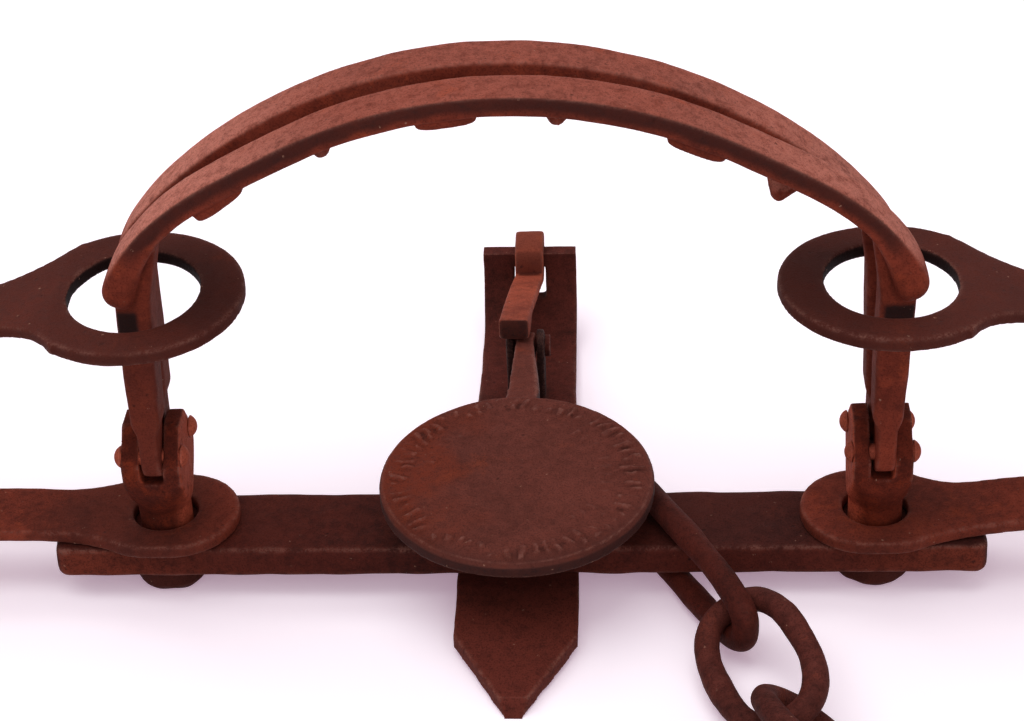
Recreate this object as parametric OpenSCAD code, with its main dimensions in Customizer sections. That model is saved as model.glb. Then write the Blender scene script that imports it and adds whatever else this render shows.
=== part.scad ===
// Double long spring leghold trap, sprung shut, lying on level ground.
// X runs along the base bar, Y away from the pointed end of the cross strap towards its upright,
// and Z up from the ground. The origin is under the rivet in the middle. Millimetres.

/* [Base bar] */
// Distance between the two posts, the spread of the jaws
jaw_spread = 165; // [150:1:190]
// How far the base bar runs past each post
base_over = 25; // [18:0.5:30]
// Width of the base bar
base_w = 22; // [20:0.5:26]
// Thickness of the base bar
base_t = 8; // [6:0.5:10]
// Height of the underside of the base bar above the ground
base_gap = 7; // [6.5:0.5:9]
// Corner radius at the ends of the base bar
base_corner = 3; // [1:0.5:6]

/* [Cross strap] */
// Thickness of the cross strap
strap_t = 4; // [3:0.25:5]
// Width of the strap in front of the base bar
strap_front_w = 28; // [25:0.5:31]
// Width of the strap at its upright
strap_rear_w = 25; // [22:0.5:28]
// Distance from the middle to the shoulders of the pointed end
shoulder_y = 30.5; // [26:0.5:34]
// Distance from the middle to the blunt tip
tip_y = 52; // [46:0.5:58]
// Width of the blunt tip
tip_w = 4; // [2:0.5:8]
// Slope of the worn end face of the tip
tip_bevel = 2.5; // [1:0.25:4]
// Distance from the middle to the front face of the upright
upright_y = 106; // [100:0.5:120]
// Height of the top of the upright above the ground
upright_top = 24; // [23:0.5:28]
// Inner radius of the bend below the upright
bend_r = 16; // [10:0.5:18]
// Height of the bar left above the slot in the upright
slot_bar = 4; // [3:0.25:5]
// Height of the slot in the upright
slot_h = 9; // [8:0.25:11]
// Diameter of the middle rivet
rivet_d = 9; // [6:0.5:12]
// Diameter of the heads of the middle rivet
rivet_head_d = 17; // [14:0.5:20]
// Height of the upper head of the middle rivet
rivet_head_h = 2.5; // [1.5:0.25:4]

/* [Posts] */
// Diameter of the round shank of a post
post_d = 12.4; // [10:0.2:14]
// Diameter of the riveted foot of a post
post_foot_d = 18; // [16:0.5:20]
// Width of the fork across the trap's length
fork_w = 13.6; // [12.8:0.2:18]
// Depth of the fork from front to back
fork_d = 19; // [18.6:0.2:24]
// Width of the top of each cheek of the fork
cheek_top = 7; // [6:0.5:10]
// Round shank that shows between the spring's eye and the fork
shank_show = 2.5; // [1.5:0.5:4]
// Angle at which the fork flares out of the shank, in degrees
fork_flare = 26; // [23:1:32]
// Height of the jaw pins above the base bar
pin_lift = 23; // [21:0.5:28]
// Distance of each jaw pin from the middle of the post
pin_y = 6; // [5.5:0.1:7]
// Diameter of the jaw pins
pin_d = 3.8; // [3:0.1:4.4]
// Diameter of the heads of the jaw pins
pin_head_d = 5.4; // [4.8:0.1:6]
// How far the domed pin heads stand proud
pin_head_h = 1.8; // [1:0.1:2.5]
// Height of the cheeks above the jaw pins
cheek_over = 6.8; // [6:0.2:10]

/* [Jaws] */
// Height of the crown of the jaws above the pins
jaw_reach = 93.4; // [86:0.2:102]
// Rise of the arch from its feet to its crown
arch_rise = 43.5; // [40:0.1:48]
// How far the foot of the arch stands out past the middle of the leg
foot_out = 2.8; // [2:0.1:4]
// Diameter of the rounded foot at each end of the arch
foot_d = 6.2; // [5.4:0.1:7]
// How far a foot hangs straight down from the end of the arch
foot_hang = 1.6; // [1:0.1:2.4]
// How far a foot stands proud of the sides of the arch
foot_proud = 0.4; // [0.2:0.1:1]
// Radial thickness of the arch
arch_h = 4.8; // [4:0.1:6]
// Width of the arch from front to back
arch_w = 11; // [9:0.1:11.6]
// Half of the gap between the two shut arches
arch_gap = 2.7; // [2.4:0.1:3.4]
// Bevel on the edges of the arch
arch_bevel = 0.8; // [0.4:0.1:1.2]
// Thickness of a leg from front to back
leg_t = 9; // [8:0.1:9.4]
// Width of a leg under the arch
leg_top_w = 8.6; // [7:0.1:10]
// Width of a leg in its fork
leg_low_w = 4.5; // [3.8:0.1:5]
// Width of a tooth at its root
tooth_w = 12; // [9:0.5:14]
// Width of a tooth at its point
tooth_point = 3; // [2:0.5:4]
// How far a tooth hangs below the arch
tooth_drop = 2.2; // [1.6:0.1:3.6]
// Slope of a tooth down to its point, in degrees
tooth_slope = 18; // [0:1:25]
// How far a tooth reaches towards the other jaw
tooth_len = 7.6; // [6:0.1:7.8]

/* [Springs] */
// Thickness of the spring strip
spring_t = 3.5; // [2.5:0.1:4]
// Diameter of the hole in the lower eye
eye_hole_d = 15; // [14:0.2:17]
// Length of the lower eye
eye_l = 34.5; // [32:0.5:37]
// Width of the lower eye
eye_w = 29; // [27:0.5:31]
// Distance from the post to the neck of the lower arm
eye_neck = 25; // [23:0.5:30]
// Width of the strip at its neck next to the eye and the ring
neck_w = 17.5; // [15:0.5:21]
// Width of the strip at the bow
bow_w = 22; // [18:0.5:26]
// Outer radius of the bow
bow_r = 15; // [12:0.5:18]
// Diameter of the hole in the upper ring
ring_hole_d = 29; // [27.5:0.5:31]
// Outer diameter of the upper ring
ring_d = 49; // [46:0.5:54]
// How far the middle of the upper ring lies outside the post
ring_out = 0.2; // [0:0.1:2]
// Distance from the middle of the ring to its shoulders
ring_shoulder = 14.6; // [12:0.2:17]
// Distance from the middle of the ring to its neck
ring_neck = 30; // [27:0.5:36]
// Distance from the middle of the ring to the crease
crease_out = 18; // [17:0.5:26]
// Slope of the upper arm down to the bow, in degrees
arm_slope = 14; // [12:0.5:18]

/* [Pan] */
// Diameter of the pan
pan_d = 63.5; // [56:0.5:67]
// Thickness of the pan
pan_t = 3.5; // [2.5:0.1:4.5]
// Height of the middle of the pan's top above the base bar
pan_lift = 12.5; // [12:0.25:18]
// Droop of the pan towards the front, in degrees
pan_droop = 2; // [0:0.5:3]
// Distance from the middle of the pan to its pivot
pan_pivot_y = 66; // [60:0.5:76]
// Height of the pivot above the base bar
pan_pivot_lift = 5.5; // [4:0.25:7]
// Width of the pan's shank at the pan
shank_w = 8.6; // [7:0.2:12]
// Width of the pan's shank at its pivot
shank_low_w = 4.2; // [3.4:0.2:5]
// Diameter of the hub on the shank
hub_d = 6.4; // [5.6:0.2:7]
// Diameter of the pan pin
pan_pin_d = 3.2; // [2.4:0.1:3.6]
// Diameter of the head of the pan pin
pan_pin_head_d = 5.6; // [5:0.2:7]
// Thickness of the head of the pan pin
pan_pin_head_h = 1.4; // [1:0.1:2]
// Gap between the two ears that hold the pan
ear_gap = 5.8; // [5.4:0.1:7]
// Thickness of an ear
ear_t = 2; // [1.6:0.1:3]
// Radius of the rounded top of an ear
ear_r = 4.2; // [3.8:0.1:4.8]
// Length of the window that the ears were cut and raised from
window_len = 22; // [12:0.5:26]

/* [Dog] */
// Width of the dog's strip
dog_w = 7.5; // [6:0.1:9]
// Thickness of the dog's strip
dog_t = 3; // [2:0.1:3.5]
// Distance from the middle of the trap to the tip of the dog
dog_tip_y = 61; // [57:0.5:64]
// Depth of the blunt tip
dog_tip_h = 6.3; // [5:0.1:7]
// How far the tip is bent to the left, in degrees
dog_bend = 3.4; // [0:0.1:5]

/* [Chain] */
// Wire of the long link around the base bar
long_wire = 6.2; // [5.6:0.1:6.4]
// Where the long link crosses the base bar
long_x = 33.2; // [30:0.2:37]
// Heading of the long link, in degrees from X
long_heading = -63; // [-70:1:-58]
// Distance from the base bar's middle line to the front bend of the long link
long_front = 39.2; // [36:0.1:50]
// Wire of the oval links
link_wire = 5.7; // [5:0.1:5.8]
// Inner width of an oval link
link_gap = 15.2; // [14:0.1:17]
// Distance from one link to the next
link_pitch = 29.5; // [27:0.5:36]
// Lean of each oval link to the side it lies on, in degrees
link_lean = 40; // [38:1:44]
// Lean of the first oval link, which lies in the long link
first_lean = 28; // [24:1:30]
// Length of the swivel from the last link to its boss
swivel_len = 24; // [22:0.5:34]
// Diameter of the swivel's pin
swivel_pin_d = 4.6; // [4:0.1:4.8]
// Inner diameter of the swivel's eye
swivel_eye_d = 7.8; // [7:0.1:8]
// Wire of the end ring
ring_wire = 5.5; // [4.5:0.1:6]
// Inner diameter of the end ring
end_ring_d = 38; // [32:0.5:50]

/* [Fits] */
// Radial clearance of a hinge pin in the piece that turns on it
turn_gap = 0.05; // [0.02:0.01:0.1]
// Radial clearance of a riveted shank in its hole
seat_gap = 0.05; // [0.02:0.01:0.1]
// Side clearance of the legs in their forks
leg_gap = 0.3; // [0.2:0.05:0.6]
// Clearance under the legs in their forks
leg_floor_gap = 1; // [0.8:0.1:1.5]
// Clearance of the upper rings below the feet of the jaws
ring_gap = 2.1; // [0.5:0.1:5]
// Side clearance of the dog in its slot
dog_gap = 0.45; // [0.3:0.05:0.8]
// Clearance of the dog's loop around the bar of its slot
loop_gap = 1.2; // [1:0.05:1.5]
// Height of the dog's tip above the ears
dog_rest_gap = 0.4; // [0.3:0.1:1]
// Side clearance of the pan's hub between its ears
hub_gap = 0.3; // [0.2:0.05:0.5]
// Clearance of the long link above and below the base bar
long_gap = 0.3; // [0.2:0.05:0.5]
// Extra play between the long link and the first oval link
long_play = 0.4; // [0.3:0.05:0.8]
// Play between one chain link and the next
link_gap_play = 1.3; // [1.1:0.05:1.6]

/* [Hidden] */
$fn = 48;

// Rust colours
rust_dark = "#3f211b";
rust_brown = "#553029";
rust_red = "#7a4438";
rust_orange = "#8c4630";

// Spare length that a cut runs past the faces it goes through
cut = 1;
// Depth to which joined shapes of one piece run into each other
bite = 1;
// A size larger than the trap, for cutting shapes out of endless bars
far = 400;

// Base bar and posts
post_x = jaw_spread / 2;
base_top = base_gap + base_t;
eye_top = base_top + spring_t;
pin_z = base_top + pin_lift;
fork_slot = leg_low_w + 2 * leg_gap;
fork_floor = pin_z - leg_t / 2 - leg_floor_gap;
fork_low = eye_top + shank_show;
gable_z = pin_z - 1;
cheek_top_z = pin_z + cheek_over;

// Cross strap
strap_flat = base_w / 2 + 4;
bend_y = upright_y - bend_r;
slot_top = upright_top - slot_bar;
slot_w = dog_w + 2 * dog_gap;

// Jaws: a circular arch through both feet and the crown
foot_x = post_x + foot_out;
crown_z = pin_z + jaw_reach;
arch_r = (foot_x * foot_x + arch_rise * arch_rise) / (2 * arch_rise);
arch_in = arch_r - arch_h;
arch_cz = crown_z - arch_r;
arch_start = asin((arch_r - arch_rise) / arch_r);
foot_z = crown_z - arch_rise;
arch_mid_r = arch_r - arch_h / 2;
foot_mid_z = arch_cz + arch_mid_r * sin(arch_start);
foot_low = foot_mid_z - foot_hang - foot_d / 2;
taper_z = pin_z + cheek_over + 3;
leg_end_z = foot_z + 2 * arch_h;
// Places of the rear jaw's teeth along X; the front jaw is the same piece turned about
tooth_x = [60.5, 12.5, -39];

// Springs
ring_x = post_x + ring_out;
ring_z = foot_low - ring_gap - spring_t / 2;
crease_x = ring_x + crease_out;
bow_mid_r = bow_r - spring_t / 2;
bow_z = base_top + bow_r;
arm_end_z = bow_z + bow_mid_r * cos(arm_slope);
arm_end_x = crease_x + (ring_z - arm_end_z) / tan(arm_slope);
bow_x = arm_end_x - bow_mid_r * sin(arm_slope);
shoulder_angle = acos(2 * ring_shoulder / ring_d);
sweep_r = hollow_r(ring_neck - ring_shoulder, (ring_d * sin(shoulder_angle) - neck_w) / 2);
sweep_angle = asin((ring_neck - ring_shoulder) / sweep_r);
eye_side = (eye_l - eye_w) / 2;
eye_angle = 57;
eye_run = eye_neck - eye_side - eye_w / 2 * cos(eye_angle);
eye_sweep_r = hollow_r(eye_run, (eye_w * sin(eye_angle) - neck_w) / 2);
eye_sweep_angle = asin(eye_run / eye_sweep_r);

// Pan and dog
pan_pivot_z = base_top + pan_pivot_lift;
pan_rise = pan_lift - pan_pivot_lift + pan_pivot_y * sin(pan_droop);
ear_top = pan_pivot_z + ear_r;
bar_y = upright_y + strap_t / 2;
bar_z = upright_top - slot_bar / 2;
loop_in_y = strap_t / 2 + loop_gap;
loop_in_z = slot_bar / 2 + loop_gap;
loop_low = bar_z - loop_in_z - dog_t;
dog_heel_y = bar_y - loop_in_y;
dog_tip_z = ear_top + dog_rest_gap;

// Chain: headings of the oval links, then of the swivel, in degrees from X
headings = [-72, -58, -78, -96, -78, -96, -78, -96, -78];
long_low = base_gap - long_gap - long_wire / 2;
long_high = base_top + long_gap + long_wire / 2;
long_r = (long_high - long_low) / 2;
long_z = (long_high + long_low) / 2;
long_back = base_w / 2 / sin(-long_heading) + long_wire / 2 - 0.5;
link_r = (link_gap + link_wire) / 2;
link_bend = link_r - (link_wire + link_gap_play) / 2;
chain_z = link_r * sin(link_lean) + link_wire / 2;
link_count = len(headings) - 1;
first_contact = long_front - long_wire / 2 - long_play - link_gap_play / 2;
swivel_boss = 2 * swivel_pin_d;
swivel_boss_l = 7;
swivel_head_h = 3;
eye_wire = swivel_pin_d;
eye_mid_r = (swivel_eye_d + eye_wire) / 2;
end_ring_r = (end_ring_d + ring_wire) / 2;

// Radius of a hollow that runs out level after the given run and drop
function hollow_r(run, drop) = (run ^ 2 + drop ^ 2) / (2 * drop);
function along(a, d) = [d * cos(a), d * sin(a), 0];
// Dip of oval link i, counted from 1: the first comes down from the long link to the ground
function dip(i) = i == 1 ? asin((long_z - chain_z) / link_pitch) : 0;
// Contact point behind oval link i along the laid chain
function contact(i) = i == 1
    ? [long_x, 0, long_z] + along(long_heading, first_contact)
    : contact(i - 1) + link_pitch * [0, 0, -sin(dip(i - 1))]
        + along(headings[i - 2], link_pitch * cos(dip(i - 1)));
// Lean of link i, first to one side and then to the other
function lean(i) = i == 1 ? first_lean : i % 2 == 1 ? link_lean : -link_lean;

function arc(c, r, from, to, steps = 12) =
    [for (i = [0:steps]) let (a = from + (to - from) * i / steps) c + r * [cos(a), sin(a)]];

// Rectangle with round corners, centred
module round_rect(l, w, r) {
    square([l - 2 * r, w], center = true);
    square([l, w - 2 * r], center = true);
    for (x = [-1, 1], y = [-1, 1])
        translate([x * (l / 2 - r), y * (w / 2 - r)]) circle(r = r);
}

// Extrudes an outline drawn in Y and Z to a width centred on X = 0
module across_x(width) {
    translate([-width / 2, 0, 0]) rotate([90, 0, 90]) linear_extrude(width) children();
}

// Extrudes an outline drawn in X and Z from one place on Y to another
module along_y(from, to) {
    translate([0, to, 0]) rotate([90, 0, 0]) linear_extrude(to - from) children();
}

// Round bar along X, centred
module bar_x(d, l) {
    rotate([0, 90, 0]) cylinder(d = d, h = l, center = true);
}

module base_bar() {
    color(rust_dark) difference() {
        translate([0, 0, base_gap]) linear_extrude(base_t)
            round_rect(jaw_spread + 2 * base_over, base_w, base_corner);
        for (side = [-1, 1])
            translate([side * post_x, 0, base_gap - cut])
                cylinder(d = post_d + 2 * seat_gap, h = base_t + 2 * cut);
        translate([0, 0, base_gap - cut]) cylinder(d = rivet_d + 2 * seat_gap, h = base_t + 2 * cut);
    }
}

// Side view of the strap: pointed front arm, seat under the base bar, rear arm, bend and upright
module strap_side() {
    polygon(concat(
        [[-tip_y, 0], [-tip_y + tip_bevel, strap_t], [-strap_flat, base_gap], [strap_flat, base_gap]],
        arc([bend_y, strap_t + bend_r], bend_r, -90, 0),
        [[upright_y, upright_top], [upright_y + strap_t, upright_top]],
        arc([bend_y, strap_t + bend_r], bend_r + strap_t, 0, -90),
        [[strap_flat, base_gap - strap_t], [-strap_flat, base_gap - strap_t]]
    ));
}

module strap_plan() {
    polygon([
        [-tip_w / 2, -tip_y], [tip_w / 2, -tip_y],
        [strap_front_w / 2, -shoulder_y], [strap_front_w / 2, strap_flat],
        [strap_rear_w / 2, upright_y - 2 * bend_r], [strap_rear_w / 2, upright_y + 2 * strap_t],
        [-strap_rear_w / 2, upright_y + 2 * strap_t], [-strap_rear_w / 2, upright_y - 2 * bend_r],
        [-strap_front_w / 2, strap_flat], [-strap_front_w / 2, -shoulder_y]
    ]);
}

module pan_ear(side) {
    translate([side * (ear_gap + ear_t) / 2, pan_pivot_y, 0]) {
        translate([0, 0, pan_pivot_z]) bar_x(2 * ear_r, ear_t);
        translate([-ear_t / 2, -ear_r, strap_t - bite])
            cube([ear_t, 2 * ear_r, pan_pivot_z - strap_t + bite]);
    }
}

module cross_strap() {
    color(rust_dark) difference() {
        union() {
            difference() {
                intersection() {
                    across_x(2 * strap_front_w) strap_side();
                    linear_extrude(far) strap_plan();
                }
                translate([-ear_gap / 2, pan_pivot_y - ear_r, -cut])
                    cube([ear_gap, window_len, base_top]);
                translate([-slot_w / 2, bend_y, slot_top - slot_h]) cube([slot_w, far, slot_h]);
            }
            for (side = [-1, 1]) pan_ear(side);
        }
        translate([0, 0, -cut]) cylinder(d = rivet_d + 2 * seat_gap, h = base_top);
        translate([0, pan_pivot_y, pan_pivot_z]) bar_x(pan_pin_d + 2 * seat_gap, 2 * strap_front_w);
    }
}

module cross_rivet() {
    color(rust_dark) {
        cylinder(d = rivet_head_d, h = base_gap - strap_t);
        cylinder(d = rivet_d, h = base_top + rivet_head_h / 2);
        translate([0, 0, base_top])
            cylinder(d1 = rivet_head_d, d2 = rivet_d, h = rivet_head_h);
    }
}

// Fork: a bar with gabled cheeks, drawn out of the round shank in a cone
module fork() {
    r = post_d / 2 - bite / 4;
    h = cheek_top_z - fork_low + cut;
    intersection() {
        across_x(fork_w) polygon([
            [-fork_d / 2, fork_low - cut], [fork_d / 2, fork_low - cut], [fork_d / 2, gable_z],
            [cheek_top / 2, cheek_top_z], [-cheek_top / 2, cheek_top_z], [-fork_d / 2, gable_z]
        ]);
        translate([0, 0, fork_low]) cylinder(r1 = r, r2 = r + h * tan(fork_flare), h = h);
    }
}

module post(side) {
    foot_bevel = base_gap / 3;
    color(rust_orange) translate([side * post_x, 0, 0]) difference() {
        union() {
            cylinder(d1 = post_foot_d - 2 * foot_bevel, d2 = post_foot_d, h = foot_bevel);
            translate([0, 0, foot_bevel]) cylinder(d = post_foot_d, h = base_gap - foot_bevel);
            cylinder(d = post_d, h = fork_low + bite);
            fork();
        }
        translate([-fork_slot / 2, -fork_d, fork_floor]) cube([fork_slot, 2 * fork_d, far]);
        for (jaw = [-1, 1])
            translate([0, jaw * pin_y, pin_z]) bar_x(pin_d + 2 * seat_gap, 2 * fork_w);
    }
}

module left_post() post(-1);
module right_post() post(1);

// Pin of one jaw in one post, with a domed head on each cheek
module jaw_pin(side, jaw) {
    dome_r = (pin_head_d * pin_head_d / 4 + pin_head_h * pin_head_h) / (2 * pin_head_h);
    color(rust_orange) translate([side * post_x, jaw * pin_y, pin_z]) {
        bar_x(pin_d, fork_w + pin_head_h);
        for (end = [-1, 1])
            rotate([0, end * 90, 0]) intersection() {
                translate([0, 0, fork_w / 2 + pin_head_h - dome_r]) sphere(r = dome_r);
                translate([0, 0, fork_w / 2]) cylinder(d = pin_head_d, h = pin_head_h);
            }
    }
}

module left_front_pin() jaw_pin(-1, -1);
module left_rear_pin() jaw_pin(-1, 1);
module right_front_pin() jaw_pin(1, -1);
module right_rear_pin() jaw_pin(1, 1);

module jaw_arch() {
    b = arch_bevel;
    translate([0, 0, arch_cz]) rotate([90, -arch_start, 0])
        rotate_extrude(angle = 180 - 2 * arch_start, $fn = 96)
            translate([arch_in, -arch_gap - arch_w])
                polygon([
                    [b, 0], [arch_h - b, 0], [arch_h, b], [arch_h, arch_w - b],
                    [arch_h - b, arch_w], [b, arch_w], [0, arch_w - b], [0, b]
                ]);
}

// Rounded foot that hangs from one end of the arch
module jaw_foot(side) {
    along_y(arch_gap - foot_proud, arch_gap + arch_w + foot_proud)
        translate([side * arch_mid_r * cos(arch_start), foot_mid_z]) {
            circle(d = foot_d);
            translate([-foot_d / 2, -foot_hang]) square([foot_d, foot_hang]);
            translate([0, -foot_hang]) circle(d = foot_d);
        }
}

// Leg that tapers from the foot of the arch into the fork and ends round on its pin
module jaw_leg(side) {
    intersection() {
        translate([side * post_x, 0, 0]) {
            along_y(pin_y - leg_t / 2, pin_y + leg_t / 2)
                polygon([
                    [-leg_low_w / 2, pin_z], [leg_low_w / 2, pin_z],
                    [leg_low_w / 2, taper_z], [leg_top_w / 2, foot_z], [leg_top_w / 2, leg_end_z],
                    [-leg_top_w / 2, leg_end_z], [-leg_top_w / 2, foot_z], [-leg_low_w / 2, taper_z]
                ]);
            translate([0, pin_y, pin_z]) bar_x(leg_t, leg_low_w);
        }
        translate([0, 0, arch_cz]) rotate([90, 0, 0])
            cylinder(r = arch_r - 2 * arch_bevel, h = far, center = true, $fn = 96);
    }
}

// Tooth under the arch at a place on X, pointing to the other jaw
module jaw_tooth(x) {
    translate([0, 0, arch_cz]) rotate([0, asin(x / arch_in), 0])
        translate([0, arch_gap, arch_in - tooth_drop]) {
            translate([-tooth_w / 2, bite / 2, 0]) cube([tooth_w, arch_w - bite, tooth_drop + bite]);
            rotate([tooth_slope, 0, 0]) linear_extrude(tooth_drop)
                polygon([
                    [-tooth_w / 2, bite], [-tooth_w / 2, 0],
                    [-tooth_point / 2, -tooth_len], [tooth_point / 2, -tooth_len],
                    [tooth_w / 2, 0], [tooth_w / 2, bite]
                ]);
        }
}

module jaw() {
    color(rust_red) difference() {
        union() {
            jaw_arch();
            for (side = [-1, 1]) {
                jaw_foot(side);
                jaw_leg(side);
            }
            for (x = tooth_x) jaw_tooth(x);
        }
        for (side = [-1, 1])
            translate([side * post_x, pin_y, pin_z]) bar_x(pin_d + 2 * turn_gap, 2 * leg_top_w);
    }
}

module rear_jaw() jaw();
module front_jaw() rotate([0, 0, 180]) jaw();

// Lower half of the right spring: eye on the base bar, level arm and the bow
module spring_lower() {
    hollow = [post_x + eye_neck, neck_w / 2 + eye_sweep_r];
    color(rust_brown) {
        translate([0, 0, base_top]) linear_extrude(spring_t) difference() {
            polygon(concat(
                arc([post_x - eye_side, 0], eye_w / 2, 90, 270, 24),
                arc([post_x + eye_side, 0], eye_w / 2, 270, 360 - eye_angle, 6),
                arc([hollow.x, -hollow.y], eye_sweep_r, 90 + 0.9 * eye_sweep_angle, 90),
                [[bow_x, -bow_w / 2], [bow_x, bow_w / 2]],
                arc(hollow, eye_sweep_r, 270, 270 - 0.9 * eye_sweep_angle),
                arc([post_x + eye_side, 0], eye_w / 2, eye_angle, 90, 6)
            ));
            translate([post_x, 0]) circle(d = eye_hole_d);
        }
        translate([bow_x, 0, bow_z]) rotate([90, 90, 0])
            rotate_extrude(angle = 180 - arm_slope)
                translate([bow_r - spring_t, -bow_w / 2]) square([spring_t, bow_w]);
    }
}

// Upper half of the right spring: sloping arm, crease, shoulders and the ring round the jaws
module spring_upper() {
    t = spring_t / 2;
    up = t * [sin(arm_slope), cos(arm_slope)];
    mitre = t * [tan(arm_slope / 2), 1];
    arm_end = [arm_end_x, arm_end_z];
    crease = [crease_x, ring_z];
    ring_end = ring_x - ring_d;
    color(rust_brown) intersection() {
        along_y(-ring_d, ring_d) polygon([
            arm_end + up, crease + mitre, [ring_end, ring_z + t],
            [ring_end, ring_z - t], crease - mitre, arm_end - up
        ]);
        linear_extrude(far) difference() {
            polygon(concat(
                arc([ring_x, 0], ring_d / 2, shoulder_angle, 360 - shoulder_angle, 48),
                arc([ring_x + ring_neck, -neck_w / 2 - sweep_r], sweep_r, 90 + 0.9 * sweep_angle, 90),
                [[bow_x, -bow_w / 2], [far, -bow_w / 2], [far, bow_w / 2], [bow_x, bow_w / 2]],
                arc([ring_x + ring_neck, neck_w / 2 + sweep_r], sweep_r, 270, 270 - 0.9 * sweep_angle)
            ));
            translate([ring_x, 0]) circle(d = ring_hole_d);
        }
    }
}

module left_spring_lower() mirror([1, 0, 0]) spring_lower();
module left_spring_upper() mirror([1, 0, 0]) spring_upper();
module right_spring_lower() spring_lower();
module right_spring_upper() spring_upper();

// Round pan with its shank and hub, drawn about the pivot and then let down by its droop
module pan() {
    low = pan_rise - pan_t;
    bevel = pan_t / 4;
    edge = pan_pivot_y - pan_d / 2;
    color(rust_brown) translate([0, pan_pivot_y, pan_pivot_z]) rotate([pan_droop, 0, 0]) difference() {
        union() {
            translate([0, -pan_pivot_y, 0]) {
                translate([0, 0, low]) cylinder(d = pan_d, h = pan_t - bevel);
                translate([0, 0, pan_rise - bevel])
                    cylinder(d1 = pan_d, d2 = pan_d - 2 * bevel, h = bevel);
            }
            intersection() {
                across_x(2 * shank_w) polygon([
                    [0, -hub_d / 2], [0, hub_d / 2], [-edge, pan_rise - bevel],
                    [-edge - shank_w, pan_rise - bevel], [-edge - shank_w, low], [-edge, low - bite]
                ]);
                translate([0, 0, -far / 2]) linear_extrude(far) polygon([
                    [-shank_low_w / 2, 0], [shank_low_w / 2, 0],
                    [shank_w / 2, -edge - shank_w], [-shank_w / 2, -edge - shank_w]
                ]);
            }
            bar_x(hub_d, ear_gap - 2 * hub_gap);
        }
        bar_x(pan_pin_d + 2 * turn_gap, 2 * ear_gap);
    }
}

// Pin through both ears, with a head on the right and beaten flush on the left
module pan_pin() {
    span = ear_gap + 2 * ear_t;
    color(rust_brown) translate([0, pan_pivot_y, pan_pivot_z]) {
        bar_x(pan_pin_d, span);
        translate([span / 2, 0, 0]) rotate([0, 90, 0]) cylinder(d = pan_pin_head_d, h = pan_pin_head_h);
    }
}

// Dog: a strip closed in a loop round the bar of the upright, with its arm reaching over the ears
module dog() {
    reach = dog_heel_y - dog_tip_y;
    rise = dog_tip_z + dog_tip_h - loop_low - dog_t;
    color(rust_orange) {
        across_x(dog_w) translate([bar_y, bar_z]) difference() {
            round_rect(2 * (loop_in_y + dog_t), 2 * (loop_in_z + dog_t), loop_in_y + dog_t / 2);
            round_rect(2 * loop_in_y, 2 * loop_in_z, loop_in_y / 2);
        }
        translate([0, dog_heel_y, loop_low]) rotate([0, 0, -dog_bend])
            across_x(dog_w) polygon([
                [bite, 0], [bite, dog_t], [0, dog_t], [-reach, rise + dog_t],
                [-reach, rise + dog_t - dog_tip_h], [-reach + dog_tip_h, rise + dog_t - dog_tip_h],
                [0, 0]
            ]);
    }
}

// Closed round-wire link in the XY plane: one bend about the origin and one further along X
module oval(wire, mid_r, span) {
    rotate([0, 0, 90]) rotate_extrude(angle = 180) translate([mid_r, 0]) circle(d = wire, $fn = 24);
    translate([span, 0, 0]) rotate([0, 0, -90])
        rotate_extrude(angle = 180) translate([mid_r, 0]) circle(d = wire, $fn = 24);
    for (side = [-1, 1])
        translate([0, side * mid_r, 0]) rotate([0, 90, 0]) cylinder(d = wire, h = span);
}

module long_link() {
    color(rust_brown) translate([long_x, 0, long_z]) rotate([0, 0, long_heading])
        translate([-long_back, 0, 0]) rotate([90, 0, 0])
            oval(long_wire, long_r, long_back + long_front - long_r);
}

module chain_link(i) {
    color(rust_brown) translate(contact(i)) rotate([0, dip(i), headings[i - 1]])
        translate([link_bend, 0, 0]) rotate([lean(i), 0, 0])
            oval(link_wire, link_r, link_pitch - 2 * link_bend);
}

module chain_link_1() chain_link(1);
module chain_link_2() chain_link(2);
module chain_link_3() chain_link(3);
module chain_link_4() chain_link(4);
module chain_link_5() chain_link(5);
module chain_link_6() chain_link(6);
module chain_link_7() chain_link(7);
module chain_link_8() chain_link(8);

// Puts a piece drawn along X behind the last oval link
module at_swivel() {
    translate(contact(link_count + 1)) rotate([0, 0, headings[link_count]]) children();
}

// Stirrup whose boss carries the swivel's pin
module swivel_body() {
    color(rust_brown) at_swivel() rotate([lean(link_count + 1), 0, 0]) difference() {
        union() {
            translate([link_bend, 0, 0]) rotate([0, 0, 90])
                rotate_extrude(angle = 180) translate([link_r, 0]) circle(d = link_wire, $fn = 24);
            for (side = [-1, 1])
                translate([link_bend, side * link_r, 0]) rotate([0, 90, 0])
                    cylinder(d = link_wire, h = swivel_len + swivel_boss_l / 2 - link_bend);
            translate([swivel_len, -link_r, -link_wire / 2])
                cube([swivel_boss_l, 2 * link_r, link_wire]);
            translate([swivel_len, 0, 0]) rotate([0, 90, 0]) cylinder(d = swivel_boss, h = swivel_boss_l);
        }
        bar_x(swivel_pin_d + 2 * turn_gap, far);
    }
}

// Headed pin that turns in the boss, with an eye for the end ring
module swivel_pin() {
    head_x = swivel_len - swivel_head_h - link_gap_play;
    eye_x = swivel_len + swivel_boss_l + link_gap_play + eye_wire / 2 + eye_mid_r;
    color(rust_brown) at_swivel() {
        translate([head_x, 0, 0]) rotate([0, 90, 0]) cylinder(d = swivel_boss, h = swivel_head_h);
        translate([head_x, 0, 0]) rotate([0, 90, 0])
            cylinder(d = swivel_pin_d, h = eye_x - eye_mid_r - head_x);
        translate([eye_x, 0, 0]) rotate([90, 0, 0]) rotate_extrude()
            translate([eye_mid_r, 0]) circle(d = eye_wire, $fn = 24);
    }
}

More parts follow.
